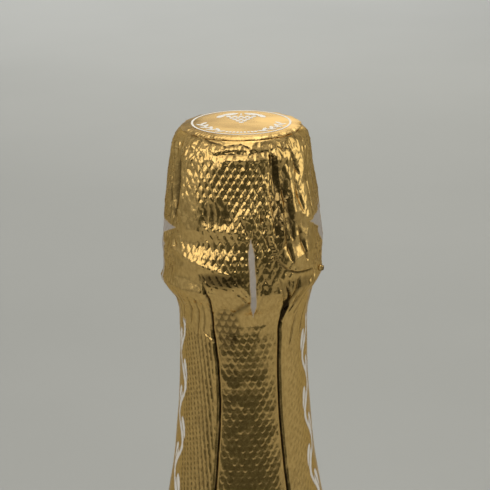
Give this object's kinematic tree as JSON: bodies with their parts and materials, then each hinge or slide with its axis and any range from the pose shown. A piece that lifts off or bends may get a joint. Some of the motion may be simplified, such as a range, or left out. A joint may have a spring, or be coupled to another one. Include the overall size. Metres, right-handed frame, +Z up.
{
  "type": "champagne bottle",
  "caption": "Sealed sparkling wine bottle with punt, mushroom cork, wire cage with eyelet, gold foil over the head and pleated down the neck, and paper labels.",
  "frame": {"origin": "centre of the foot's bearing ring, on the plane that the bottle stands on", "axes": "+Z up along the bottle's axis, -Y out of the front label, +X to the right seen from the front"},
  "size_m": [0.088, 0.0886, 0.3232],
  "materials": {
    "glass": "gloss",
    "wine": "gloss",
    "cork_granules": "matte",
    "natural_cork": "matte",
    "tinplate": "satin",
    "cage_wire": "satin",
    "foil": "satin",
    "foil_disc": "satin",
    "paper": "matte"
  },
  "bodies": {
    "bottle": {"glass_bottle": "glass", "wine": "wine", "neck_foil": "foil", "collar_label": "paper", "front_label": "paper", "back_label": "paper"},
    "cork": {"cork_agglomerate": "cork_granules", "cork_disc_upper": "natural_cork", "cork_disc_lower": "natural_cork"},
    "muselet": {"muselet_plaque": "tinplate", "cage_wire_1": "cage_wire", "cage_wire_2": "cage_wire", "cage_wire_3": "cage_wire", "cage_wire_4": "cage_wire", "muselet_belt": "cage_wire"},
    "eyelet": {"muselet_eyelet": "cage_wire"},
    "foil_cap": {"foil_cap": "foil", "foil_top_disc": "foil_disc"}
  },
  "joints": [
    {"name": "cork_pull", "type": "slide", "parent": "bottle", "child": "cork", "axis": [0, 0, 1], "range_m": [0, 0.06]},
    {"name": "muselet_lift", "type": "slide", "parent": "cork", "child": "muselet", "axis": [0, 0, 1], "range_m": [0, 0.06], "deforming": ["cage_wire_1", "cage_wire_2", "cage_wire_3", "cage_wire_4", "muselet_belt"]},
    {"name": "foil_lift", "type": "slide", "parent": "muselet", "child": "foil_cap", "axis": [0, 0, 1], "range_m": [0, 0.08], "deforming": ["foil_cap"]},
    {"name": "eyelet_swing", "type": "hinge", "parent": "muselet", "child": "eyelet", "pos_m": [0.01224, -0.01027, 0.28555], "axis": [0.6428, 0.766, 0], "range_deg": [0, 90]}
  ],
  "couplings": [
    {"joint": "eyelet_swing", "follows": "foil_lift", "rad_per_m": 19.634}
  ]
}
